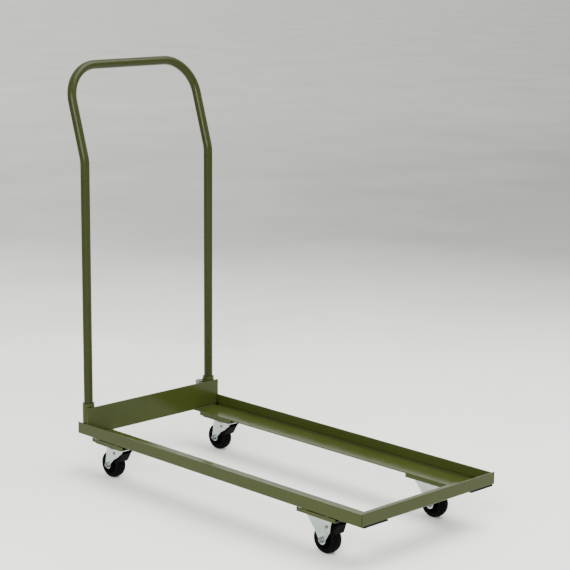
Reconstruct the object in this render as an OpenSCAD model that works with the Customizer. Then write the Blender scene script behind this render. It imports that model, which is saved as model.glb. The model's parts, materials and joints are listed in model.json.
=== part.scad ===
// Folding-chair dolly: an open rectangular frame of angle rails on four casters, with an
// upright hoop handle held in two sockets at one end. The handle end is towards -X, the
// open end towards +X, +Z is up and the floor is z = 0. Millimetres throughout.
// The near side is -Y and the far side is +Y.

/* [Frame] */
// Length of the base over its rails
frame_length = 1100; // [1000:10:1300]
// Width of the base over its rails
frame_width = 490; // [450:10:640]
// Height of the side rails' underside above the floor
rail_base_z = 112;
// Height of the upright leg of every rail
rail_leg = 34; // [28:1:44]
// Width of the side rails' flat flange
side_flange = 90; // [86:1:110]
// Width of the end rail's flat flange
end_flange = 75; // [40:1:110]
// Thickness of the rail sheet
rail_sheet = 3;
// Outer radius of the fold along each rail
fold_radius = 5;

/* [Handle end] */
// Height of the end plate above the flanges
end_plate_height = 77; // [60:1:85]
// Thickness of the end plate
end_plate_sheet = 4;
// Distance from the rails' ends to the handle legs' axes
socket_inset = 22;
// Outside radius of the two handle sockets
socket_radius = 17;
// Inside radius of the two handle sockets
socket_bore = 13;
// Height of the sockets' tops above the floor
socket_top_z = 202; // [196:1:204]
// Height of the clamp screw's axis above the floor
clamp_z = 190;

/* [Handle] */
// Outside radius of the handle tube
tube_radius = 12.7;
// Wall thickness of the handle tube
tube_wall = 1.6;
// Height at which both legs turn outwards
kink_z = 884; // [700:2:960]
// Lean of the handle's upper part away from the load, in degrees
lean = 17.4922;
// Length of the leaning part, from the turn to the grip's axis
lean_length = 264; // [220:2:320]
// Centre-line radius of the turn
kink_radius = 80;
// Centre-line radius of the two top corners
corner_radius = 100; // [60:5:120]

/* [Casters] */
// Radius of every wheel over the tread
wheel_radius = 38;
// Width of every tyre
tyre_width = 30;
// Radius of the tread's crown across its width
tread_crown = 32;
// Distance of the swivel axes from the handle end of the rails
swivel_inset = 128;
// Distance of the fixed casters' centres from the open end of the rails
fixed_inset = 160;
// Distance of each caster's centre from the middle of the base
caster_y = 200;
// Distance from a swivel axis back to its wheel's axle
trail = 27;
// Length of every caster's top plate
caster_plate_length = 100;
// Width of every caster's top plate
caster_plate_width = 66;
// Length of a swivel caster's top plate
swivel_plate_length = 112;
// Width of a swivel caster's top plate, nearly as wide as its pad
swivel_plate_width = 86;

/* [Hidden] */
$fn = 48;
eps = 0.01;

handle_reach = frame_length / 2 - socket_inset + lean_length * sin(lean) + tube_radius;
base_x = round(10 * (handle_reach - frame_length / 2)) / 20;
rail_end_gap = 1.5;
rail_x0 = base_x - frame_length / 2;
rail_x1 = base_x + frame_length / 2;
side_y = frame_width / 2;
flange_z = rail_base_z + rail_sheet;
leg_top_z = rail_base_z + rail_leg;
fold_clear = rail_sheet + 2.2;

leg_x = rail_x0 + socket_inset;
leg_y = side_y - rail_sheet - socket_radius - 0.5;
plate_back_x = leg_x + socket_radius + 0.3;
plate_front_x = plate_back_x + end_plate_sheet;
end_plate_z = flange_z + end_plate_height;

tube_bore = tube_radius - tube_wall;
tube_foot_z = flange_z + 0.3;
kink_tangent = round(10 * kink_radius * tan(lean / 2)) / 10;
kink_start_z = kink_z - kink_tangent;
lean_straight = lean_length - corner_radius - kink_tangent;
grip_half = leg_y - corner_radius;

swivel_x = rail_x0 + swivel_inset;
fixed_x = rail_x1 - fixed_inset;
pad_length = 132;
pad_z = rail_base_z - 10;
pad_inner_y = side_y - side_flange;
pad_wall = 3;
plate_sheet = 3;
plate_z = pad_z - plate_sheet;
bolt_x = 38;
bolt_y = 21;
bolt_radius = 4;
bolt_hole = 4.3;
bolt_head_flats = 13;
bolt_head_height = 5.3;
nut_height = 6.5;

race_radius = 27;
ball_radius = 2.5;
ball_circle = 21;
ball_count = 22;
ball_z = plate_z - 3.8;
race_gap = 0.7;
groove = ball_radius + 0.1;
crown_z = 88;
crown_sheet = 3;
king_radius = 6;
king_head_radius = 9.5;
king_head_height = 2.8;

fork_inner = 18.5;
fork_sheet = 2.5;
fork_outer = fork_inner + fork_sheet;
axle_z = wheel_radius;
axle_radius = 4;
axle_hole = 4.1;
sleeve_radius = 6;
sleeve_bore = 4.08;
hub_bore = sleeve_radius + 0.06;
hub_radius = 11;
hub_half = 17.4;
rim_radius = 28;

pedal_half = 17.2;
pedal_pivot_z = 77;
pedal_pin_radius = 2.5;
pedal_hub_radius = 5.5;
swivel_pedal_x = 28;
fixed_pedal_x = 20;
pedal_swing = 12;
fixed_splay_z = 62;
fixed_top_y = 33;
splay_slope = (fixed_top_y - fork_outer) / (plate_z - fixed_splay_z);

sides = [-1, 1];
swivel_wheel_x = swivel_x - trail;

green = [0.29, 0.32, 0.19];
zinc = [0.72, 0.74, 0.76];
black = [0.04, 0.04, 0.045];
rubber = [0.06, 0.06, 0.06];

// ---- shared shapes ----

// A bar along X from x0 to x1 with a flat profile drawn in Y and Z
module along_x(x0, x1) {
  translate([x0, 0, 0]) rotate([90, 0, 90]) linear_extrude(x1 - x0) children();
}

// A cylinder along Y from y0 to y1
module rod_y(r, y0, y1, x = 0, z = 0, sides = 0) {
  translate([x, y0, z]) rotate([-90, 0, 0]) cylinder(r = r, h = y1 - y0, $fn = sides > 0 ? sides : $fn);
}

// A hexagon prism along Y, given across its flats
module hex_y(flats, y0, y1, x = 0, z = 0) {
  rod_y(flats / 2 / cos(30), y0, y1, x, z, 6);
}

// Angle profile with its upright leg at +u and its flange running to -u
module angle_profile(flange) {
  translate([-rail_sheet, fold_radius]) square([rail_sheet, rail_leg - fold_radius]);
  translate([-flange, 0]) square([flange - fold_radius, rail_sheet]);
  difference() {
    translate([-fold_radius, 0]) square([fold_radius, fold_radius]);
    translate([-fold_radius, fold_radius]) circle(r = fold_radius - rail_sheet);
    difference() {
      square([4 * fold_radius, 4 * fold_radius], center = true);
      translate([-fold_radius, fold_radius]) circle(r = fold_radius);
      translate([-3 * fold_radius, -eps]) square([2 * fold_radius, 4 * fold_radius]);
      translate([-2 * fold_radius, fold_radius]) square([4 * fold_radius, 2 * fold_radius]);
    }
  }
}

// Rectangle plate with rounded corners, centred on x and y
module round_plate(length, width, corner, z0, z1) {
  translate([0, 0, z0]) {
    translate([-length / 2 + corner, -width / 2, 0]) cube([length - 2 * corner, width, z1 - z0]);
    translate([-length / 2, -width / 2 + corner, 0]) cube([length, width - 2 * corner, z1 - z0]);
    for (sx = sides)
      for (sy = sides)
        translate([sx * (length / 2 - corner), sy * (width / 2 - corner), 0])
          cylinder(r = corner, h = z1 - z0);
  }
}

module bolt_holes(z0, z1) {
  for (sx = sides)
    for (sy = sides)
      translate([sx * bolt_x, sy * bolt_y, z0]) cylinder(r = bolt_hole, h = z1 - z0);
}

// ---- frame ----

// The leg stops short of the end rail's leg, and the flange runs on below it
module side_rail(side) {
  color(green)
    union() {
      along_x(rail_x0, rail_x1 - rail_sheet - rail_end_gap)
        translate([side * side_y, rail_base_z])
          mirror([side > 0 ? 0 : 1, 0]) angle_profile(side_flange);
      mirror([0, side > 0 ? 0 : 1, 0])
        translate([rail_x1 - rail_sheet - rail_end_gap - 2, side_y - side_flange, rail_base_z])
          cube([rail_sheet + rail_end_gap + 1.6, side_flange - fold_radius, rail_sheet]);
    }
}

module near_side_rail() { side_rail(-1); }

module far_side_rail() { side_rail(1); }

module end_rail() {
  color(green)
    difference() {
      translate([0, side_y, flange_z]) rotate([90, 0, 0]) linear_extrude(frame_width)
        translate([rail_x1, 0]) angle_profile(end_flange);
      for (side = sides)
        mirror([0, side > 0 ? 0 : 1, 0])
          translate([rail_x1 - end_flange - 1, side_y - fold_clear, flange_z - 1])
            cube([end_flange + 1 - rail_sheet, fold_clear + 1, rail_leg + 2]);
    }
}

module handle_end_plate() {
  color(green)
    difference() {
      translate([plate_back_x, -side_y, flange_z]) cube([end_plate_sheet, frame_width, end_plate_height]);
      for (side = sides)
        mirror([0, side > 0 ? 0 : 1, 0])
          translate([plate_back_x - 1, side_y - fold_clear, flange_z - 1])
            cube([end_plate_sheet + 2, fold_clear + 1, leg_top_z - flange_z + 1]);
    }
}

module socket_tube(side) {
  translate([leg_x, side * leg_y, flange_z])
    difference() {
      cylinder(r = socket_radius, h = socket_top_z - flange_z);
      translate([0, 0, -1]) cylinder(r = socket_bore, h = socket_top_z - flange_z + 2);
    }
}

module near_handle_socket() { color(green) socket_tube(-1); }

module far_handle_socket() {
  color(green)
    difference() {
      socket_tube(1);
      rod_y(axle_hole, leg_y - socket_radius - 1, leg_y, leg_x, clamp_z);
    }
}

module clamp_nut() {
  face_y = leg_y - socket_radius;
  color(zinc)
    difference() {
      hex_y(bolt_head_flats, face_y - nut_height, face_y, leg_x, clamp_z);
      rod_y(axle_hole, face_y - nut_height - 1, face_y + 1, leg_x, clamp_z);
    }
}

module clamp_screw() {
  tip_y = leg_y - tube_radius - 0.1;
  knob_y = leg_y - socket_radius - nut_height - 9;
  knob_length = 12;
  knob_radius = 8;
  color(zinc)
    union() {
      rod_y(axle_radius, knob_y - 1, tip_y, leg_x, clamp_z);
      difference() {
        rod_y(knob_radius, knob_y - knob_length, knob_y, leg_x, clamp_z);
        for (a = [0:30:330])
          rod_y(1.2, knob_y - knob_length - 1, knob_y + 1,
                leg_x + (knob_radius + 0.4) * cos(a), clamp_z + (knob_radius + 0.4) * sin(a));
      }
      rod_y(5.5, knob_y, knob_y + 2, leg_x, clamp_z);
    }
}

// ---- handle ----

// Cross-section of the handle tube
module tube_section() {
  difference() {
    circle(r = tube_radius);
    circle(r = tube_bore);
  }
}

// A straight length of the handle tube standing on z = 0
module straight_tube(length) {
  linear_extrude(length) tube_section();
}

module handle_tube() {
  color(green) {
    for (side = sides)
      translate([leg_x, side * leg_y, tube_foot_z]) straight_tube(kink_start_z - tube_foot_z);
    translate([leg_x - kink_radius, 0, kink_start_z]) {
      for (side = sides)
        translate([0, side * leg_y, 0])
          rotate([90, 0, 0]) rotate_extrude(angle = lean) translate([kink_radius, 0]) tube_section();
      rotate([0, -lean, 0]) translate([kink_radius, 0, 0]) {
        for (side = sides) {
          translate([0, side * leg_y, 0]) straight_tube(lean_straight);
          rotate([0, 0, side > 0 ? 0 : 180])
            translate([0, grip_half, lean_straight]) rotate([90, 0, 90])
              rotate_extrude(angle = 90) translate([corner_radius, 0]) tube_section();
        }
        translate([0, -grip_half, lean_straight + corner_radius]) rotate([-90, 0, 0])
          straight_tube(2 * grip_half);
      }
    }
  }
}

// ---- caster mounting ----

// Shallow channel under a side flange, open at both ends, that carries a caster
module caster_pad(x, side) {
  width = side_flange - 1;
  color(green)
    translate([x, side * (side_y - 0.5 - width / 2), pad_z])
      difference() {
        translate([-pad_length / 2, -width / 2, 0]) cube([pad_length, width, rail_base_z - pad_z]);
        translate([-pad_length / 2 - 1, -width / 2 + pad_wall, pad_wall])
          cube([pad_length + 2, width - 2 * pad_wall, rail_base_z - pad_z]);
        translate([0, side * (caster_y - side_y + 0.5 + width / 2), 0]) bolt_holes(-1, pad_wall + 1);
      }
}

module near_swivel_caster_pad() { caster_pad(swivel_x, -1); }

module far_swivel_caster_pad() { caster_pad(swivel_x, 1); }

module near_fixed_caster_pad() { caster_pad(fixed_x, -1); }

module far_fixed_caster_pad() { caster_pad(fixed_x, 1); }

module at_all_bolts() {
  for (x = [swivel_x, fixed_x])
    for (side = sides)
      for (sx = sides)
        for (sy = sides)
          translate([x + sx * bolt_x, side * caster_y + sy * bolt_y, 0]) children();
}

module caster_bolts() {
  color(zinc)
    at_all_bolts() {
      translate([0, 0, plate_z - bolt_head_height])
        cylinder(r = bolt_head_flats / 2 / cos(30), h = bolt_head_height, $fn = 6);
      translate([0, 0, plate_z - 1])
        cylinder(r = bolt_radius, h = pad_z + pad_wall + nut_height - plate_z + 0.6);
    }
}

module caster_nuts() {
  color(zinc)
    at_all_bolts()
      translate([0, 0, pad_z + pad_wall])
        difference() {
          cylinder(r = bolt_head_flats / 2 / cos(30), h = nut_height, $fn = 6);
          translate([0, 0, -1]) cylinder(r = bolt_radius + 0.05, h = nut_height + 2);
        }
}

// ---- swivel casters ----

module swivel_top_plate(side) {
  color(zinc)
    translate([swivel_x, side * caster_y, 0])
      difference() {
        union() {
          round_plate(swivel_plate_length, swivel_plate_width, 4, plate_z, pad_z);
          translate([0, 0, ball_z + race_gap]) cylinder(r = race_radius, h = plate_z - ball_z - race_gap + 1);
        }
        translate([0, 0, ball_z]) rotate_extrude() translate([ball_circle, 0]) circle(r = groove);
        translate([0, 0, ball_z - 5]) cylinder(r = king_radius, h = 20);
        bolt_holes(plate_z - 1, pad_z + 1);
      }
}

module near_swivel_top_plate() { swivel_top_plate(-1); }

module far_swivel_top_plate() { swivel_top_plate(1); }

module bearing_balls(side) {
  color(zinc)
    translate([swivel_x, side * caster_y, ball_z])
      for (i = [0:ball_count - 1])
        rotate([0, 0, i * 360 / ball_count]) translate([ball_circle, 0, 0]) sphere(r = ball_radius);
}

module near_swivel_bearing_balls() { bearing_balls(-1); }

module far_swivel_bearing_balls() { bearing_balls(1); }

module king_pin(side) {
  color(zinc)
    translate([swivel_x, side * caster_y, 0]) {
      translate([0, 0, crown_z - king_head_height - 0.3])
        cylinder(r = king_head_radius, h = king_head_height);
      translate([0, 0, crown_z - king_head_height])
        cylinder(r = king_radius, h = pad_z - crown_z + king_head_height);
    }
}

module near_swivel_king_pin() { king_pin(-1); }

module far_swivel_king_pin() { king_pin(1); }

// Side view of a swivel fork's leg, measured from its wheel's axle
module swivel_leg_outline() {
  difference() {
    union() {
      polygon([[-5, 40], [-10.8, 3], [0, -4], [10.5, 4], [26, 20], [44, 31], [60.5, 45], [62, 50], [-4, 50]]);
      circle(r = 11);
    }
    circle(r = axle_hole);
    translate([swivel_pedal_x, pedal_pivot_z - axle_z]) circle(r = pedal_pin_radius + 0.05);
  }
}

module swivel_fork(side) {
  color(zinc)
    translate([swivel_wheel_x, side * caster_y, 0])
      union() {
        for (s = sides)
          translate([0, s > 0 ? fork_outer : -fork_inner, axle_z])
            rotate([90, 0, 0]) linear_extrude(fork_sheet) swivel_leg_outline();
        difference() {
          union() {
            translate([-4, -fork_outer, crown_z]) cube([66, 2 * fork_outer, crown_sheet]);
            translate([trail, 0, crown_z]) cylinder(r = race_radius + 1.5, h = crown_sheet);
            translate([trail, 0, crown_z]) cylinder(r = race_radius, h = ball_z - race_gap - crown_z);
          }
          translate([trail, 0, ball_z]) rotate_extrude() translate([ball_circle, 0]) circle(r = groove);
          translate([trail, 0, crown_z - 1]) cylinder(r = king_radius + 0.08, h = 20);
        }
      }
}

module near_swivel_fork() { swivel_fork(-1); }

module far_swivel_fork() { swivel_fork(1); }

// ---- fixed casters ----

// Side view of a fixed fork's legs, measured from the axle
module fixed_leg_outline() {
  union() {
    polygon([[0, -4], [12.4, 2], [27, fixed_splay_z - axle_z], [44, plate_z - axle_z + 1],
             [-44, plate_z - axle_z + 1], [-27, fixed_splay_z - axle_z], [-12.4, 2]]);
    circle(r = 12.5);
  }
}

// End view of one fixed fork leg: upright beside the wheel, then splayed out to the top plate
module fixed_leg_fold() {
  bend = fork_sheet * tan(atan(splay_slope) / 2);
  polygon([[fork_inner, 0], [fork_outer, 0], [fork_outer, fixed_splay_z],
           [fixed_top_y, plate_z], [fixed_top_y, plate_z + 1], [fixed_top_y - fork_sheet * 1.04, plate_z + 1],
           [fixed_top_y - fork_sheet * 1.04, plate_z], [fork_inner, fixed_splay_z + bend]]);
}

module fixed_fork(side) {
  color(zinc)
    translate([fixed_x, side * caster_y, 0])
      difference() {
        union() {
          round_plate(caster_plate_length, caster_plate_width, 8, plate_z, pad_z);
          for (s = sides)
            intersection() {
              translate([0, s * 50 + 50, axle_z]) rotate([90, 0, 0]) linear_extrude(100) fixed_leg_outline();
              mirror([0, s > 0 ? 0 : 1, 0]) along_x(-60, 60) fixed_leg_fold();
            }
        }
        bolt_holes(plate_z - 1, pad_z + 1);
        rod_y(axle_hole, -60, 60, 0, axle_z);
        rod_y(pedal_pin_radius + 0.05, -60, 60, fixed_pedal_x, pedal_pivot_z);
      }
}

module near_fixed_fork() { fixed_fork(-1); }

module far_fixed_fork() { fixed_fork(1); }

// ---- wheels ----

module wheel_core(x, side) {
  color(black)
    translate([x, side * caster_y, axle_z]) rotate([90, 0, 0])
      difference() {
        union() {
          cylinder(r = hub_radius, h = 2 * hub_half, center = true);
          cylinder(r = rim_radius - 4, h = 8, center = true);
          difference() {
            cylinder(r = rim_radius, h = tyre_width - 2, center = true);
            for (s = sides)
              translate([0, 0, s > 0 ? 4 : -tyre_width])
                cylinder(r = rim_radius - 4, h = tyre_width - 4);
          }
        }
        cylinder(r = hub_bore, h = 80, center = true);
      }
}

module tyre(x, side) {
  color(rubber)
    translate([x, side * caster_y, axle_z]) rotate([90, 0, 0])
      rotate_extrude()
        intersection() {
          translate([rim_radius, -tyre_width / 2]) square([wheel_radius - rim_radius, tyre_width]);
          translate([wheel_radius - tread_crown, 0]) circle(r = tread_crown);
        }
}

module near_swivel_wheel_core() { wheel_core(swivel_wheel_x, -1); }

module far_swivel_wheel_core() { wheel_core(swivel_wheel_x, 1); }

module near_fixed_wheel_core() { wheel_core(fixed_x, -1); }

module far_fixed_wheel_core() { wheel_core(fixed_x, 1); }

module near_swivel_tyre() { tyre(swivel_wheel_x, -1); }

module far_swivel_tyre() { tyre(swivel_wheel_x, 1); }

module near_fixed_tyre() { tyre(fixed_x, -1); }

module far_fixed_tyre() { tyre(fixed_x, 1); }

module axle_sleeve(x, side) {
  color(zinc)
    translate([x, side * caster_y, axle_z])
      difference() {
        rod_y(sleeve_radius, -fork_inner, fork_inner);
        rod_y(sleeve_bore, -fork_inner - 1, fork_inner + 1);
      }
}

module near_swivel_axle_sleeve() { axle_sleeve(swivel_wheel_x, -1); }

module far_swivel_axle_sleeve() { axle_sleeve(swivel_wheel_x, 1); }

module near_fixed_axle_sleeve() { axle_sleeve(fixed_x, -1); }

module far_fixed_axle_sleeve() { axle_sleeve(fixed_x, 1); }

// Hexagon-head bolt through a fork, with its head on the +Y side
module axle_bolt(x, side) {
  color(zinc)
    translate([x, side * caster_y, axle_z]) {
      rod_y(axle_radius, -fork_outer - nut_height - 1.2, fork_outer + 1);
      hex_y(bolt_head_flats, fork_outer, fork_outer + bolt_head_height);
    }
}

module near_swivel_axle_bolt() { axle_bolt(swivel_wheel_x, -1); }

module far_swivel_axle_bolt() { axle_bolt(swivel_wheel_x, 1); }

module near_fixed_axle_bolt() { axle_bolt(fixed_x, -1); }

module far_fixed_axle_bolt() { axle_bolt(fixed_x, 1); }

module axle_nut(x, side) {
  color(zinc)
    translate([x, side * caster_y, axle_z])
      difference() {
        hex_y(bolt_head_flats, -fork_outer - nut_height, -fork_outer);
        rod_y(axle_radius + 0.05, -fork_outer - nut_height - 1, -fork_outer + 1);
      }
}

module near_swivel_axle_nut() { axle_nut(swivel_wheel_x, -1); }

module far_swivel_axle_nut() { axle_nut(swivel_wheel_x, 1); }

module near_fixed_axle_nut() { axle_nut(fixed_x, -1); }

module far_fixed_axle_nut() { axle_nut(fixed_x, 1); }

// ---- brakes ----

// Pedal in its pressed position, measured from its pivot; the wheel's axle lies at wheel_at
module brake_pedal_shape(wheel_at) {
  difference() {
    rotate([90, 0, 0])
      linear_extrude(2 * pedal_half, center = true)
        difference() {
          union() {
            polygon([[-4.4, -8], [2, -18], [8, -27], [14, -23], [23, -8], [28.5, 0.5], [27, 3], [14, 3.6],
                     [1, 5.8], [-1.5, 3], [-4.2, -1]]);
            circle(r = pedal_hub_radius);
          }
          for (a = [0, pedal_swing / 2, pedal_swing])
            rotate(-a) translate(wheel_at) circle(r = wheel_radius + 0.25);
          circle(r = pedal_pin_radius + 0.06);
        }
    for (i = [0:3])
      rod_y(0.8, -pedal_half - 1, pedal_half + 1, 14 + 4 * i, 4.1 - 0.1 * i);
  }
}

module swivel_brake_pedal(side) {
  color(black)
    translate([swivel_wheel_x + swivel_pedal_x, side * caster_y, pedal_pivot_z])
      brake_pedal_shape([-swivel_pedal_x, axle_z - pedal_pivot_z]);
}

module near_swivel_brake_pedal() { swivel_brake_pedal(-1); }

module far_swivel_brake_pedal() { swivel_brake_pedal(1); }

// The fixed casters' pedals stand raised, clear of the wheel
module fixed_brake_pedal(side) {
  color(black)
    translate([fixed_x + fixed_pedal_x, side * caster_y, pedal_pivot_z])
      rotate([0, -pedal_swing, 0])
        brake_pedal_shape([-fixed_pedal_x, axle_z - pedal_pivot_z]);
}

module near_fixed_brake_pedal() { fixed_brake_pedal(-1); }

module far_fixed_brake_pedal() { fixed_brake_pedal(1); }

module pedal_pin(x, side, half) {
  color(zinc)
    translate([x, side * caster_y, pedal_pivot_z])
      union() {
        rod_y(pedal_pin_radius, -half - 1, half + 1);
        for (s = sides)
          rod_y(4.2, s > 0 ? half : -half - 1.6, s > 0 ? half + 1.6 : -half);
      }
}

module near_swivel_pedal_pin() { pedal_pin(swivel_wheel_x + swivel_pedal_x, -1, fork_outer); }

module far_swivel_pedal_pin() { pedal_pin(swivel_wheel_x + swivel_pedal_x, 1, fork_outer); }

fixed_pin_half = fork_outer + (pedal_pivot_z - fixed_splay_z) * splay_slope + 1.6;

module near_fixed_pedal_pin() { pedal_pin(fixed_x + fixed_pedal_x, -1, fixed_pin_half); }

module far_fixed_pedal_pin() { pedal_pin(fixed_x + fixed_pedal_x, 1, fixed_pin_half); }

// ---- drawing ----

near_side_rail();
far_side_rail();
end_rail();
handle_end_plate();
near_handle_socket();
far_handle_socket();
clamp_nut();
clamp_screw();
handle_tube();
near_swivel_caster_pad();
far_swivel_caster_pad();
near_fixed_caster_pad();
far_fixed_caster_pad();
caster_bolts();
caster_nuts();
near_swivel_top_plate();
far_swivel_top_plate();
near_swivel_bearing_balls();
far_swivel_bearing_balls();
near_swivel_king_pin();
far_swivel_king_pin();
near_swivel_fork();
far_swivel_fork();
near_fixed_fork();
far_fixed_fork();
near_swivel_wheel_core();
far_swivel_wheel_core();
near_fixed_wheel_core();
far_fixed_wheel_core();
near_swivel_tyre();
far_swivel_tyre();
near_fixed_tyre();
far_fixed_tyre();
near_swivel_axle_sleeve();
far_swivel_axle_sleeve();
near_fixed_axle_sleeve();
far_fixed_axle_sleeve();
near_swivel_axle_bolt();
far_swivel_axle_bolt();
near_fixed_axle_bolt();
far_fixed_axle_bolt();
near_swivel_axle_nut();
far_swivel_axle_nut();
near_fixed_axle_nut();
far_fixed_axle_nut();
near_swivel_brake_pedal();
far_swivel_brake_pedal();
near_fixed_brake_pedal();
far_fixed_brake_pedal();
near_swivel_pedal_pin();
far_swivel_pedal_pin();
near_fixed_pedal_pin();
far_fixed_pedal_pin();
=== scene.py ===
import bmesh
import bpy
import json
import math
import random
from mathutils import Matrix, Vector

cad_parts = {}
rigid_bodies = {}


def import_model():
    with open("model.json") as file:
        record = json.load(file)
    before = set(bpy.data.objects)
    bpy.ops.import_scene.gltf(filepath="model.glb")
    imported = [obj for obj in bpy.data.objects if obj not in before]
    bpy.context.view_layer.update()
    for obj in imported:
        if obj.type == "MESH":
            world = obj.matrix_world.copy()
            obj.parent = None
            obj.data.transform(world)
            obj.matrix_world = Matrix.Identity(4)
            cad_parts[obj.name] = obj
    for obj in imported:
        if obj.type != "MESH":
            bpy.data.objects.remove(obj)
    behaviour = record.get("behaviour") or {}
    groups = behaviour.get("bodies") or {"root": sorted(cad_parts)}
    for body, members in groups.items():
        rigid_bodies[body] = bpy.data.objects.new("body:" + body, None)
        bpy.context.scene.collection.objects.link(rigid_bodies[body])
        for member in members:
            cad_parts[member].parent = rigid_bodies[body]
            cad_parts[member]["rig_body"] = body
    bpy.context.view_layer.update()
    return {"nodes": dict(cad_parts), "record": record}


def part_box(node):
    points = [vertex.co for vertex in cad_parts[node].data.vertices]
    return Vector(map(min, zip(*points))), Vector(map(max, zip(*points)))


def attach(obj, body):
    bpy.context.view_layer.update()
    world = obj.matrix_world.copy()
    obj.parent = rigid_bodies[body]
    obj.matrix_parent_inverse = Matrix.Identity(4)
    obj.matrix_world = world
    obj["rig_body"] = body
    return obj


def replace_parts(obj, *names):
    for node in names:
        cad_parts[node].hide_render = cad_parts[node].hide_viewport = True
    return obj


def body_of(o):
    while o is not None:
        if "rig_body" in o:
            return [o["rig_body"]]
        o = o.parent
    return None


MM = 0.001

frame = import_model()
NODES = frame["nodes"]


# ---------------------------------------------------------------- materials

BEVEL_SAMPLES = 6
OCCLUSION_SAMPLES = 8

# Dot products of the bevelled and the true normal: on a flat face, and on a full edge.
FLAT_AGREEMENT, EDGE_AGREEMENT = 0.99, 0.86
# Dust starts on faces whose normal's Z is over 0.6.
DUSTY_SLOPE = 0.6


class Look:
    """One procedural material, built on a Principled shader and object coordinates."""

    def __init__(self, name):
        self.material = bpy.data.materials.new(name)
        self.material.use_nodes = True
        self.tree = self.material.node_tree
        self.tree.nodes.clear()
        output = self.add("ShaderNodeOutputMaterial")
        self.shader = self.add("ShaderNodeBsdfPrincipled")
        self.tree.links.new(self.shader.outputs["BSDF"], output.inputs["Surface"])
        self.coords = self.add("ShaderNodeTexCoord").outputs["Object"]
        self.normal = None

    def feed(self, socket, value):
        """Links another node's output to the socket, or sets the socket to a plain value."""
        if isinstance(value, bpy.types.NodeSocket):
            self.tree.links.new(value, socket)
        else:
            socket.default_value = value

    def add(self, kind, **inputs):
        node = self.tree.nodes.new(kind)
        for key, value in inputs.items():
            self.feed(node.inputs[key], value)
        return node

    def set(self, **values):
        """Sets the shader's own sockets. An underscore stands for a space in a socket's name."""
        for key, value in values.items():
            self.feed(self.shader.inputs[key.replace("_", " ")], value)

    def math(self, operation, a, b):
        node = self.add("ShaderNodeMath")
        node.operation = operation
        self.feed(node.inputs[0], a)
        self.feed(node.inputs[1], b)
        return node.outputs["Value"]

    def vectors(self, operation, a, b):
        node = self.add("ShaderNodeVectorMath")
        node.operation = operation
        self.feed(node.inputs[0], a)
        self.feed(node.inputs[1], b)
        return node

    def noise(self, scale, detail=3.0, rough=0.5, stretch=None):
        coords = self.coords
        node = self.add("ShaderNodeTexNoise", Scale=scale, Detail=detail, Roughness=rough)
        if stretch:
            mapping = self.add("ShaderNodeMapping", Vector=coords)
            mapping.inputs["Scale"].default_value = stretch
            coords = mapping.outputs["Vector"]
        self.feed(node.inputs["Vector"], coords)
        return node.outputs["Fac"]

    def cells(self, scale):
        return self.add("ShaderNodeTexVoronoi", Scale=scale, Vector=self.coords).outputs["Distance"]

    def along(self, origin, direction):
        """How far, in metres, a point lies from an origin in a level direction."""
        level = Vector((direction.x, direction.y, 0.0)).normalized()
        shifted = self.vectors("SUBTRACT", self.coords, origin)
        return self.vectors("DOT_PRODUCT", shifted.outputs["Vector"], level).outputs["Value"]

    def remap(self, source, low, high, to_low=0.0, to_high=1.0):
        """Straight line from (low, to_low) to (high, to_high), level beyond both."""
        node = self.add("ShaderNodeMapRange", Value=source)
        node.inputs["From Min"].default_value = low
        node.inputs["From Max"].default_value = high
        node.inputs["To Min"].default_value = to_low
        node.inputs["To Max"].default_value = to_high
        return node.outputs["Result"]

    def patches(self, scale, low, high, **noise):
        """Noise as a mask: 0 where it is under low, 1 where it is over high."""
        return self.remap(self.noise(scale, **noise), low, high)

    def ramp(self, source, start, span):
        """start where the source is 0, and one span more for each 1 of it."""
        return self.math("ADD", self.math("MULTIPLY", source, span), start)

    def blend(self, share, a, b):
        node = self.add("ShaderNodeMix")
        node.data_type = "RGBA"
        factor, first, second = node.inputs[0], node.inputs[6], node.inputs[7]
        self.feed(factor, share)
        self.feed(first, a)
        self.feed(second, b)
        return node.outputs[2]

    def tint(self, base, mask, share, colour):
        """Lays up to a share of a colour over the base, where the mask is 1."""
        return self.blend(self.math("MULTIPLY", mask, share), base, rgb(*colour))

    def bump(self, height, distance, strength):
        node = self.add("ShaderNodeBump", Height=height, Distance=distance, Strength=strength)
        if self.normal is not None:
            self.feed(node.inputs["Normal"], self.normal)
        self.normal = node.outputs["Normal"]
        self.feed(self.shader.inputs["Normal"], self.normal)

    def bevel(self, radius):
        node = self.add("ShaderNodeBevel", Radius=radius)
        node.samples = BEVEL_SAMPLES
        return node.outputs["Normal"]

    def rounded_edges(self, radius):
        self.normal = self.bevel(radius)
        self.feed(self.shader.inputs["Normal"], self.normal)

    def edge_mask(self, radius):
        """About 1 on a convex or concave edge and 0 on a flat face."""
        bevelled = self.bevel(radius)
        true_normal = self.add("ShaderNodeNewGeometry").outputs["Normal"]
        agreement = self.vectors("DOT_PRODUCT", bevelled, true_normal).outputs["Value"]
        return self.remap(agreement, FLAT_AGREEMENT, EDGE_AGREEMENT)

    def shade_mask(self, reach, closed, open_air):
        """1 where no more than closed of the sky shows within reach, and 0 from open_air up. It marks
        where shade is painted into corners.
        """
        node = self.add("ShaderNodeAmbientOcclusion", Distance=reach)
        node.samples = OCCLUSION_SAMPLES
        return self.remap(node.outputs["AO"], open_air, closed)

    def upward(self):
        """1 on a face that looks straight up, where dust settles."""
        geometry = self.add("ShaderNodeNewGeometry")
        split = self.add("ShaderNodeSeparateXYZ", Vector=geometry.outputs["Normal"])
        return self.remap(split.outputs["Z"], DUSTY_SLOPE, 1.0)


def rgb(r, g, b):
    return (r, g, b, 1.0)


def times(colour, *factors):
    """A colour with each channel multiplied by its factor, or all of them by one."""
    if len(factors) == 1:
        factors = factors * 3
    return tuple(channel * factor for channel, factor in zip(colour, factors))


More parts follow.
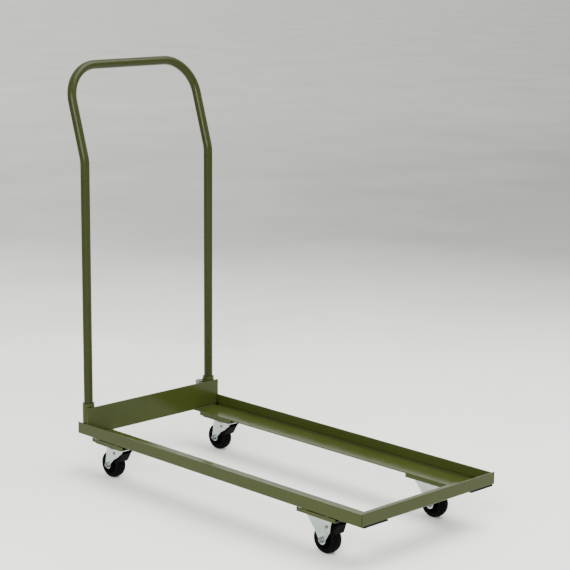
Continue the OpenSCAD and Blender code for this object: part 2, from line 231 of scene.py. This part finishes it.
DUST = (0.20, 0.19, 0.15)
DUST_SHARE = 0.03
# Painted shade on the side rails' ends, which lie in shade under the end rail. The end is also made
# rougher.
PAINTED_END_SHADE = (0.0024, 0.0024, 0.0020)
PAINTED_END_SHADE_SHARE, SHADED_END_ROUGHER = 0.97, 6.0
PAINTED_END_SHADE_BLEND = 0.0002
# Near black, painted into the coat's corners and between parts as shade.
SHADE_PAINTED_ON_COAT = (0.0016, 0.0018, 0.0010)
TARNISH = (0.30, 0.29, 0.27)
# Near black, painted into the plating's corners and between parts as shade.
SHADE_PAINTED_ON_ZINC = (0.006, 0.006, 0.006)
SCUFF = (0.009, 0.0088, 0.0085)
RUBBER, RUBBER_DIRT = (0.0014, 0.0014, 0.0015), (0.0055, 0.0053, 0.0050)


def powder_coat(name, colour, dark, rough, shaded_end_x=None):
    """Sprayed and baked paint. The last argument is the X, in metres, beyond which shade is painted
    near black onto the coat, for a rail's end that lies in shade under the end rail.
    """
    look = Look(name)
    mottle = look.patches(scale=5.0, low=0.35, high=0.65, detail=4.0)
    cloud = look.patches(scale=38.0, low=0.3, high=0.7)
    base = look.blend(mottle, rgb(*colour), rgb(*dark))
    fleck = look.patches(scale=1500.0, low=0.62, high=0.74, detail=1.0)
    base = look.tint(base, fleck, share=0.05, colour=times(colour, 1.5))
    rubbed = look.patches(scale=60.0, low=0.46, high=0.66)
    worn = look.math("MULTIPLY", look.edge_mask(radius=0.0011), rubbed)
    base = look.tint(base, worn, share=0.35, colour=times(colour, 1.7))
    settled = look.remap(
        look.noise(scale=9.0, detail=5.0), low=0.4, high=0.75, to_high=DUST_SHARE)
    base = look.tint(base, look.upward(), share=settled, colour=DUST)
    # Painted shade: the rail's end goes near black, as the shade it lies in under the end rail, and
    # is made rougher.
    if shaded_end_x is not None:
        split = look.add("ShaderNodeSeparateXYZ", Vector=look.coords)
        past = look.remap(
            split.outputs["X"], shaded_end_x, shaded_end_x + PAINTED_END_SHADE_BLEND, to_high=PAINTED_END_SHADE_SHARE)
        base = look.blend(past, base, rgb(*PAINTED_END_SHADE))
        cloud = look.math("MAXIMUM", cloud, look.math("MULTIPLY", past, SHADED_END_ROUGHER))
    # Painted shade: the coat goes near black in corners and between parts, where little sky shows.
    corner_shade = look.shade_mask(reach=0.012, closed=0.40, open_air=0.80)
    base = look.tint(base, corner_shade, share=0.95, colour=SHADE_PAINTED_ON_COAT)
    look.set(Base_Color=base, Roughness=look.ramp(cloud, start=rough - 0.05, span=0.11))
    look.set(Specular_IOR_Level=0.15)
    look.rounded_edges(radius=0.0007)
    look.bump(look.noise(scale=520.0, detail=1.0, rough=0.4), distance=0.00005, strength=0.35)
    look.bump(look.noise(scale=45.0, detail=2.0), distance=0.0003, strength=0.2)
    return look.material


def zinc_plate(name, colour, rough, grain):
    """Plated steel, cloudy and streaked. grain is how much X, Y and Z squeeze the streaks."""
    look = Look(name)
    cloud = look.patches(scale=55.0, low=0.3, high=0.7, detail=4.0, rough=0.6)
    streak = look.noise(scale=70.0, stretch=grain)
    base = look.blend(cloud, rgb(*colour), rgb(*times(colour, 0.80, 0.83, 0.88)))
    dulled = look.patches(scale=240.0, low=0.62, high=0.78, detail=5.0, rough=0.7)
    base = look.tint(base, dulled, share=0.3, colour=TARNISH)
    # Painted shade: the plating goes near black in corners and between parts, where little sky shows.
    corner_shade = look.shade_mask(reach=0.014, closed=0.18, open_air=0.62)
    base = look.tint(base, corner_shade, share=0.93, colour=SHADE_PAINTED_ON_ZINC)
    look.set(Base_Color=base, Metallic=1.0)
    look.set(Roughness=look.remap(streak, 0.3, 0.7, to_low=rough - 0.07, to_high=rough + 0.10))
    look.rounded_edges(radius=0.0005)
    look.bump(streak, distance=0.00008, strength=0.35)
    look.bump(look.noise(scale=900.0, detail=2.0), distance=0.00004, strength=0.4)
    return look.material


def moulded_plastic(name, colour, rough):
    """Black plastic with slightly paler scuffs and a fine mould texture."""
    look = Look(name)
    scuff = look.patches(scale=130.0, low=0.55, high=0.75, detail=5.0, rough=0.65)
    base = look.tint(rgb(*colour), scuff, share=0.25, colour=SCUFF)
    look.set(Base_Color=base)
    look.set(Roughness=look.remap(scuff, 0.0, 1.0, to_low=rough, to_high=rough + 0.15))
    look.set(Specular_IOR_Level=0.04)
    look.rounded_edges(radius=0.0006)
    look.bump(look.cells(scale=1400.0), distance=0.00005, strength=0.35)
    return look.material


def tyre_rubber(name):
    """Matt black rubber with floor dirt in patches."""
    look = Look(name)
    dirt = look.patches(scale=90.0, low=0.42, high=0.72, detail=6.0, rough=0.65)
    base = look.tint(rgb(*RUBBER), dirt, share=0.5, colour=RUBBER_DIRT)
    look.set(Base_Color=base, Roughness=look.remap(dirt, 0.0, 1.0, to_low=0.60, to_high=0.80))
    look.set(Specular_IOR_Level=0.03)
    look.rounded_edges(radius=0.0006)
    look.bump(look.noise(scale=700.0), distance=0.0001, strength=0.4)
    look.bump(look.noise(scale=120.0), distance=0.0003, strength=0.25)
    return look.material


def polished_steel(name):
    look = Look(name)
    cloud = look.patches(scale=300.0, low=0.3, high=0.7)
    look.set(Base_Color=rgb(0.62, 0.62, 0.63), Metallic=1.0)
    look.set(Roughness=look.remap(cloud, 0.0, 1.0, to_low=0.12, to_high=0.24))
    return look.material


# Colour, darker mottling and roughness of the two paints.
FRAME_PAINT = ((0.0305, 0.0385, 0.0068), (0.0272, 0.0345, 0.0058), 0.20)
TUBE_PAINT = ((0.0190, 0.0235, 0.0028), (0.0170, 0.0210, 0.0024), 0.28)
ZINC_ROUGHNESS = 0.32

LOOKS = {
    "olive_powder_coat": powder_coat("olive_powder_coat", *FRAME_PAINT),
    "tube_powder_coat": powder_coat("tube_powder_coat", *TUBE_PAINT),
    "bright_zinc": zinc_plate(
        "bright_zinc", (0.45, 0.50, 0.465), ZINC_ROUGHNESS, (1.0, 1.0, 9.0)),
    "zinc_fasteners": zinc_plate(
        "zinc_fasteners", (0.17, 0.18, 0.165), ZINC_ROUGHNESS, (6.0, 1.0, 6.0)),
    "bearing_steel": polished_steel("bearing_steel"),
    "wheel_plastic": moulded_plastic("wheel_plastic", (0.0012, 0.0012, 0.0013), 0.62),
    "pedal_plastic": moulded_plastic("pedal_plastic", (0.0011, 0.0011, 0.0012), 0.60),
    "tyre_rubber": tyre_rubber("tyre_rubber"),
}

for part in frame["record"]["subparts"]:
    mesh = NODES[part["node"]].data
    mesh.materials.clear()
    mesh.materials.append(LOOKS[part["material_slot"]])


# ---------------------------------------------------------------- detail pieces

SMOOTH_DEGREES, TYRE_SMOOTH_DEGREES, WELD_SMOOTH_DEGREES = 30.0, 40.0, 60.0
FACE_WEIGHT = 80

MERGE_DISTANCE = 2e-6
FLAT_DEGREES = 0.5
SHARP_DEGREES = 32.0
BEVEL_SEGMENTS = 2


def add_piece(name, build, node, slot, smooth_degrees=SMOOTH_DEGREES):
    """A new piece from a bmesh. It rides with the body of a CAD node and is listed under a slot."""
    mesh = bpy.data.meshes.new(name)
    bmesh.ops.recalc_face_normals(build, faces=build.faces)
    build.to_mesh(mesh)
    build.free()
    mesh.shade_smooth()
    mesh.set_sharp_from_angle(angle=math.radians(smooth_degrees))
    mesh.materials.append(LOOKS[slot])
    piece = bpy.data.objects.new(name, mesh)
    bpy.context.scene.collection.objects.link(piece)
    weighted = piece.modifiers.new("flat_faces_stay_flat", "WEIGHTED_NORMAL")
    weighted.keep_sharp = True
    weighted.weight = FACE_WEIGHT
    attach(piece, body_of(NODES[node])[0])
    return piece


def soften(node, slot, width):
    """The CAD node's own shape with its sharp edges rounded by width, in its place."""
    source = NODES[node]
    build = bmesh.new()
    build.from_mesh(source.data)
    build.transform(source.matrix_world)
    bmesh.ops.remove_doubles(build, verts=build.verts, dist=MERGE_DISTANCE)
    bmesh.ops.dissolve_limit(
        build, angle_limit=math.radians(FLAT_DEGREES), verts=build.verts, edges=build.edges)
    sharp = [
        edge for edge in build.edges
        if edge.is_manifold and edge.calc_face_angle(0.0) > math.radians(SHARP_DEGREES)
    ]
    bmesh.ops.bevel(
        build, geom=sharp, offset=width, offset_type="OFFSET", segments=BEVEL_SEGMENTS,
        profile=0.5, affect="EDGES", clamp_overlap=True,
    )
    piece = add_piece(node + "_finish", build, node, slot)
    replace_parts(piece, node)
    return piece


def bridge(build, here, there):
    """Closes the band between two rings of as many points with four-sided faces."""
    count = len(here)
    for j in range(count):
        k = (j + 1) % count
        build.faces.new((here[j], here[k], there[k], there[j]))


# ---------------------------------------------------------------- wheels

LATHE_STEPS = 96
RIB_COUNT = 8

# Millimetres. A profile point is (radius, offset along the axle), from the -Y face to the middle.
TREAD_CENTRE, TREAD_CROWN = 6.0, 32.0
TREAD_OFFSETS = (-12.0, -10.0, -8.0, -6.0, -4.0, -2.0, -0.9)
TYRE_WALL = [
    (28.04, -14.2), (28.5, -14.7), (29.2, -14.95), (30.3, -14.95), (30.7, -14.6),
    (32.0, -14.5), (32.9, -14.75), (33.6, -14.6), (34.3, -14.1), (34.9, -13.2),
]
TREAD_GROOVE = [(37.92, -0.55), (37.68, -0.2), (37.66, 0.0)]
CORE_HALF = [
    (6.1, -17.0), (6.5, -17.4), (10.3, -17.4), (11.0, -16.8), (11.4, -6.4), (12.0, -5.0),
    (13.3, -4.1), (21.6, -4.0), (23.0, -4.7), (23.9, -6.2), (24.2, -13.3), (24.8, -13.95),
    (27.4, -13.95), (27.96, -13.5),
]
# A rib's two ends: distance from the axle, half its thickness, and height above the wheel's middle.
RIB_ENDS = ((10.6, 1.35, 13.2), (24.6, 1.0, 10.6))
RIB_FOOT_HEIGHT, RIB_FLARE = 3.6, 0.3
RIB_CORNER_ACROSS, RIB_CORNER_DOWN = 0.45, 0.5


def mirrored(profile):
    """A half profile, from the -Y face to the middle, with its mirror image."""
    return profile + [(radius, -y) for radius, y in reversed(profile) if y != 0.0]


def lathe(build, centre, profile):
    """Turns a closed profile of (radius, offset along Y) in millimetres about the wheel's axle."""
    rings = []
    for i in range(LATHE_STEPS):
        angle = 2 * math.pi * i / LATHE_STEPS
        ring = []
        for radius, y in profile:
            r = radius * MM
            offset = Vector((r * math.cos(angle), y * MM, r * math.sin(angle)))
            ring.append(build.verts.new(centre + offset))
        rings.append(ring)
    for here, there in zip(rings, rings[1:] + rings[:1]):
        bridge(build, here, there)


def tyre_profile():
    """A solid tyre: a raised ring on the wall, and a crowned tread with a mould groove."""
    crown = [(TREAD_CENTRE + math.sqrt(TREAD_CROWN ** 2 - y ** 2), y) for y in TREAD_OFFSETS]
    return mirrored(TYRE_WALL + crown + TREAD_GROOVE)


def add_rib(build, centre, angle, side):
    """One moulded rib on the core's web, thinner and lower towards the rim."""
    out = Vector((math.cos(angle), 0.0, math.sin(angle)))
    across = Vector((-math.sin(angle), 0.0, math.cos(angle)))
    ends = []
    for radius, half, top in RIB_ENDS:
        outline = (
            (-half - RIB_FLARE, RIB_FOOT_HEIGHT),
            (-half, top - RIB_CORNER_DOWN),
            (-half + RIB_CORNER_ACROSS, top),
            (half - RIB_CORNER_ACROSS, top),
            (half, top - RIB_CORNER_DOWN),
            (half + RIB_FLARE, RIB_FOOT_HEIGHT),
        )
        end = []
        for offset, height in outline:
            point = out * radius + across * offset + Vector((0.0, side * height, 0.0))
            end.append(build.verts.new(centre + point * MM))
        ends.append(end)
    inner, outer = ends
    bridge(build, inner, outer)
    build.faces.new(inner)
    build.faces.new(outer)


def dress_wheel(name):
    """A moulded tyre and a ribbed core in place of the plain CAD ones."""
    tyre, core = name + "_tyre", name + "_wheel_core"
    low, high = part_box(tyre)
    centre = (Vector(low) + Vector(high)) / 2
    build = bmesh.new()
    lathe(build, centre, tyre_profile())
    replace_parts(add_piece(tyre + "_moulded", build, tyre, "tyre_rubber", TYRE_SMOOTH_DEGREES), tyre)
    build = bmesh.new()
    lathe(build, centre, mirrored(CORE_HALF))
    for i in range(RIB_COUNT):
        for side in (-1, 1):
            add_rib(build, centre, 2 * math.pi * (i + 0.5) / RIB_COUNT, side)
    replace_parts(add_piece(name + "_core_moulded", build, core, "wheel_plastic"), core)


# ---------------------------------------------------------------- weld beads

# Lengths in millimetres.
RING_POINTS, FEWEST_RINGS, RING_SPACING = 12, 8, 0.65
RIPPLE_PITCH, RIPPLE_DEPTH = 2.6, 0.16
RIPPLE_DRIFT, RIPPLE_DRIFT_RATE = 0.25, 0.9
BEAD_END_SIZE, BEAD_END_TAPER = 0.35, 1.6
BEAD_UNEVENNESS = 0.025


def weld_bead(name, path, radius, seed):
    """A rippled bead along a path of points in millimetres, half sunk in the corner it fills."""
    dice = random.Random(seed)
    points = [Vector(p) for p in path]
    lengths = [(b - a).length for a, b in zip(points, points[1:])]
    total = sum(lengths)
    steps = max(FEWEST_RINGS, int(total / RING_SPACING))
    build = bmesh.new()
    rings = []
    sway = dice.uniform(0.0, 6.0)
    for i in range(steps + 1):
        at = total * i / steps
        k, rest = 0, at
        while k < len(lengths) - 1 and rest > lengths[k]:
            rest -= lengths[k]
            k += 1
        along = (points[k + 1] - points[k]).normalized()
        spot = points[k] + along * rest
        drift = RIPPLE_DRIFT * math.sin(at * RIPPLE_DRIFT_RATE + sway)
        ripple = abs(math.sin(math.pi * (at + drift) / RIPPLE_PITCH))
        ends = min(1.0, BEAD_END_SIZE + min(at, total - at) / (BEAD_END_TAPER * radius))
        uneven = 1.0 + dice.uniform(-BEAD_UNEVENNESS, BEAD_UNEVENNESS)
        size = radius * ends * (1.0 - RIPPLE_DEPTH + RIPPLE_DEPTH * ripple) * uneven
        first = along.orthogonal().normalized()
        second = along.cross(first)
        ring = []
        for j in range(RING_POINTS):
            turn = 2 * math.pi * j / RING_POINTS
            outward = first * math.cos(turn) + second * math.sin(turn)
            ring.append(build.verts.new((spot + outward * size) * MM))
        rings.append(ring)
    for here, there in zip(rings, rings[1:]):
        bridge(build, here, there)
    build.faces.new(rings[0])
    build.faces.new(rings[-1])
    add_piece(name, build, "near_side_rail", "olive_powder_coat", WELD_SMOOTH_DEGREES)


def millimetres(node):
    low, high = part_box(node)
    return Vector(low) / MM, Vector(high) / MM


# ---------------------------------------------------------------- finishing the CAD shapes

# How far back from a rail's end, in metres, the painted shade under the end rail reaches.
SHADED_END_LENGTH = 0.0012
rail_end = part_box("near_side_rail")[1][0]
rail_with_painted_end_shade = powder_coat("olive_powder_coat_painted_end_shade", *FRAME_PAINT, shaded_end_x=rail_end - SHADED_END_LENGTH)

# Slot, edge rounding in metres, and the CAD nodes that get it.
SOFT_EDGES = (
    ("olive_powder_coat", 0.0008, (
        "near_side_rail", "far_side_rail", "end_rail", "handle_end_plate",
        "near_swivel_caster_pad", "far_swivel_caster_pad", "near_fixed_caster_pad",
        "far_fixed_caster_pad", "near_handle_socket", "far_handle_socket", "clamp_nut",
        "near_swivel_top_plate", "far_swivel_top_plate")),
    ("bright_zinc", 0.0004, (
        "near_swivel_fork", "far_swivel_fork", "near_fixed_fork", "far_fixed_fork")),
    ("pedal_plastic", 0.0006, (
        "near_swivel_brake_pedal", "far_swivel_brake_pedal", "near_fixed_brake_pedal",
        "far_fixed_brake_pedal")),
    ("zinc_fasteners", 0.0003, ("clamp_screw", "caster_bolts", "caster_nuts")),
)

for slot_name, edge_width, nodes in SOFT_EDGES:
    for node_name in nodes:
        piece = soften(node_name, slot_name, edge_width)
        # The side rails take the coat with painted shade on their ends.
        if node_name.endswith("side_rail"):
            piece.data.materials[0] = rail_with_painted_end_shade

for wheel in ("near_swivel", "far_swivel", "near_fixed", "far_fixed"):
    dress_wheel(wheel)


# ---------------------------------------------------------------- where the frame is welded

# Millimetres, as in part.scad: the sheet's thickness and the outside radius of its folds.
SHEET, FOLD = 3.0, 5.0
SOCKET_ARC_START, SOCKET_ARC_SWEEP, SOCKET_ARC_STEPS = 60.0, 175.0, 30
SOCKET_SEAM_OFFSET = 6.6
STITCH_HALF, STITCH_PLACES = 7.0, (("a", -38.0), ("b", 38.0))

# The small numbers in the paths below set a bead's middle just off its corner, and stop its ends
# short of the sheet's edges. Each kind of bead has its own seed, plus the side's -1 or 1.
FOOT_SEED, PLATE_END_SEED, LAP_SEED, CORNER_SEED = 20, 23, 26, 29
SOCKET_FOOT_SEED, SOCKET_SEAM_SEED, STITCH_SEED = 32, 35, 38

plate_low, plate_high = millimetres("handle_end_plate")
rail_low, rail_high = millimetres("far_side_rail")
end_low, end_high = millimetres("end_rail")
flange_top = plate_low.z
leg_inner = rail_high.y - SHEET
flange_inner = rail_low.y
end_flange_edge = end_low.x
end_leg_inner = end_high.x - SHEET


def weld_corner(word, side):
    """The beads that join one side rail to the plate, the end rail, its socket and its pads."""
    weld_bead(word + "_plate_foot_weld", [
        (plate_high.x, side * (flange_inner + 2.0), flange_top + 0.2),
        (plate_high.x, side * (leg_inner - FOLD), flange_top + 0.2)], 2.2, FOOT_SEED + side)
    weld_bead(word + "_plate_end_weld", [
        (plate_high.x, side * (leg_inner - 0.2), flange_top + 5.0),
        (plate_high.x, side * (leg_inner - 0.2), rail_high.z - 2.0)], 1.9, PLATE_END_SEED + side)
    weld_bead(word + "_end_rail_lap_weld", [
        (end_flange_edge, side * (flange_inner + 2.0), flange_top + 0.3),
        (end_flange_edge, side * (leg_inner - FOLD), flange_top + 0.3)], 2.1, LAP_SEED + side)
    weld_bead(word + "_end_rail_corner_weld", [
        (end_leg_inner, side * (leg_inner - 0.3), flange_top + 6.0),
        (end_leg_inner, side * (leg_inner - 0.3), rail_high.z - 3.0)], 1.8, CORNER_SEED + side)
    weld_socket(word, side)
    for pad in ("swivel", "fixed"):
        pad_low, pad_high = millimetres(word + "_" + pad + "_caster_pad")
        pad_face = pad_high.y if side > 0 else -pad_low.y
        for end, offset in STITCH_PLACES:
            middle = (pad_low.x + pad_high.x) / 2 + offset
            seam_y = side * (pad_face - 1.7)
            weld_bead("%s_%s_pad_weld_%s" % (word, pad, end), [
                (middle - STITCH_HALF, seam_y, pad_high.z + 0.2),
                (middle + STITCH_HALF, seam_y, pad_high.z + 0.2)], 1.8, STITCH_SEED + side)


def weld_socket(word, side):
    """The beads round one handle socket's foot and up the end plate beside it."""
    socket_low, socket_high = millimetres(word + "_handle_socket")
    middle = (socket_low + socket_high) / 2
    radius = (socket_high.x - socket_low.x) / 2
    arc = []
    for step in range(SOCKET_ARC_STEPS + 1):
        turn = math.radians(SOCKET_ARC_START + SOCKET_ARC_SWEEP * step / SOCKET_ARC_STEPS)
        arc.append((middle.x + radius * math.cos(turn),
                    middle.y - side * radius * math.sin(turn), flange_top + 0.4))
    weld_bead(word + "_socket_foot_weld", arc, 2.0, SOCKET_FOOT_SEED + side)
    seam_y = middle.y - side * SOCKET_SEAM_OFFSET
    weld_bead(word + "_socket_plate_weld", [
        (plate_low.x - 0.9, seam_y, flange_top + 3.0),
        (plate_low.x - 0.9, seam_y, plate_high.z - 3.0)], 1.9, SOCKET_SEAM_SEED + side)


weld_corner("near", -1)
weld_corner("far", 1)


# ---------------------------------------------------------------- stage, light and camera

CAMERA_PLACE = Vector((3.3053, -3.15806, 1.51413))
CAMERA_FORWARD = Vector((-0.702016, 0.683599, -0.199667))
CAMERA_UP = Vector((-0.148351, 0.133845, 0.979836))
CAMERA_LENS, SENSOR_WIDTH, CAMERA_REACH = 111.19, 36.0, 200.0

FLOOR_HALF = 60.0
FLOOR_PALE, FLOOR_IN_PAINTED_SHADE = rgb(0.80, 0.797, 0.775), rgb(0.30, 0.302, 0.285)

SKY_COLOUR = rgb(1.0, 0.995, 0.975)
SKY_BRIGHT, SKY_DIM = 1.7, 0.55
SKY_BRIGHT_SIDE = Vector((-0.55, 0.45, 0.7)).normalized()
SKY_EDGE = 0.9


def stage_floor():
    """The floor fills the whole picture, so the backdrop's light and shade is painted onto it: darker
    from 6 to 9 m away, paler again beyond that, and darker towards the picture's right."""
    mesh = bpy.data.meshes.new("floor")
    build = bmesh.new()
    bmesh.ops.create_grid(build, x_segments=2, y_segments=2, size=FLOOR_HALF)
    build.to_mesh(mesh)
    build.free()
    floor = bpy.data.objects.new("floor", mesh)
    bpy.context.scene.collection.objects.link(floor)
    look = Look("floor")
    to_the_left = Vector((-CAMERA_FORWARD.y, CAMERA_FORWARD.x, 0.0))
    depth = look.along(CAMERA_PLACE, CAMERA_FORWARD)
    slant = look.math("DIVIDE", look.along(CAMERA_PLACE, to_the_left), depth)
    shade = look.remap(look.noise(scale=1.5), 0.3, 0.7, to_high=0.12)
    falling = look.remap(depth, 6.2, 8.6, to_high=0.62)
    rising = look.remap(depth, 9.0, 15.0, to_high=0.30)
    across = look.remap(slant, 0.15, -0.17, to_high=0.42)
    sideways = look.math("MULTIPLY", across, look.remap(depth, 5.0, 8.0))
    with_distance = look.math("SUBTRACT", falling, rising)
    # Painted shade: how far the floor is darkened for the backdrop's light and shade, plus random
    # blotches.
    painted_backdrop_shade = look.math("ADD", with_distance, look.math("ADD", sideways, shade))
    look.set(Base_Color=look.blend(painted_backdrop_shade, FLOOR_PALE, FLOOR_IN_PAINTED_SHADE))
    look.set(Roughness=0.75)
    look.set(Specular_IOR_Level=0.15)
    mesh.materials.append(look.material)


def soft_box(name, place, target, width, height, watts):
    light = bpy.data.lights.new(name, "AREA")
    light.shape = "RECTANGLE"
    light.size, light.size_y = width, height
    light.energy = watts
    lamp = bpy.data.objects.new(name, light)
    lamp.location = place
    lamp.rotation_euler = (Vector(target) - Vector(place)).to_track_quat("-Z", "Y").to_euler()
    bpy.context.scene.collection.objects.link(lamp)


def studio_sky():
    """A plain pale surround that is brighter overhead and on one side, as behind a studio set."""
    world = bpy.data.worlds.new("studio")
    world.use_nodes = True
    tree = world.node_tree
    background = tree.nodes["Background"]
    background.inputs["Color"].default_value = SKY_COLOUR
    coords = tree.nodes.new("ShaderNodeTexCoord")
    side = tree.nodes.new("ShaderNodeVectorMath")
    side.operation = "DOT_PRODUCT"
    side.inputs[1].default_value = SKY_BRIGHT_SIDE
    tree.links.new(coords.outputs["Generated"], side.inputs[0])
    level = tree.nodes.new("ShaderNodeMapRange")
    level.interpolation_type = "SMOOTHSTEP"
    level.inputs["From Min"].default_value = -SKY_EDGE
    level.inputs["From Max"].default_value = SKY_EDGE
    level.inputs["To Min"].default_value = SKY_DIM
    level.inputs["To Max"].default_value = SKY_BRIGHT
    tree.links.new(side.outputs["Value"], level.inputs["Value"])
    tree.links.new(level.outputs["Result"], background.inputs["Strength"])
    bpy.context.scene.world = world


def place_camera():
    camera = bpy.data.objects.new("camera", bpy.data.cameras.new("camera"))
    back = -CAMERA_FORWARD.normalized()
    right = CAMERA_UP.cross(back).normalized()
    up = back.cross(right)
    turned = Matrix((right, up, back)).transposed().to_4x4()
    camera.matrix_world = Matrix.Translation(CAMERA_PLACE) @ turned
    camera.data.lens = CAMERA_LENS
    camera.data.sensor_width = SENSOR_WIDTH
    camera.data.clip_end = CAMERA_REACH
    bpy.context.scene.collection.objects.link(camera)
    bpy.context.scene.camera = camera


stage_floor()
studio_sky()
soft_box(
    "key", place=(1.0, 1.0, 4.0), target=(0.1, 0.0, 0.1), width=3.2, height=3.2, watts=250.0)
soft_box(
    "fill", place=(2.4, -3.6, 2.6), target=(0.1, 0.0, 0.2), width=3.0, height=2.4, watts=330.0)
place_camera()

bpy.context.view_layer.update()
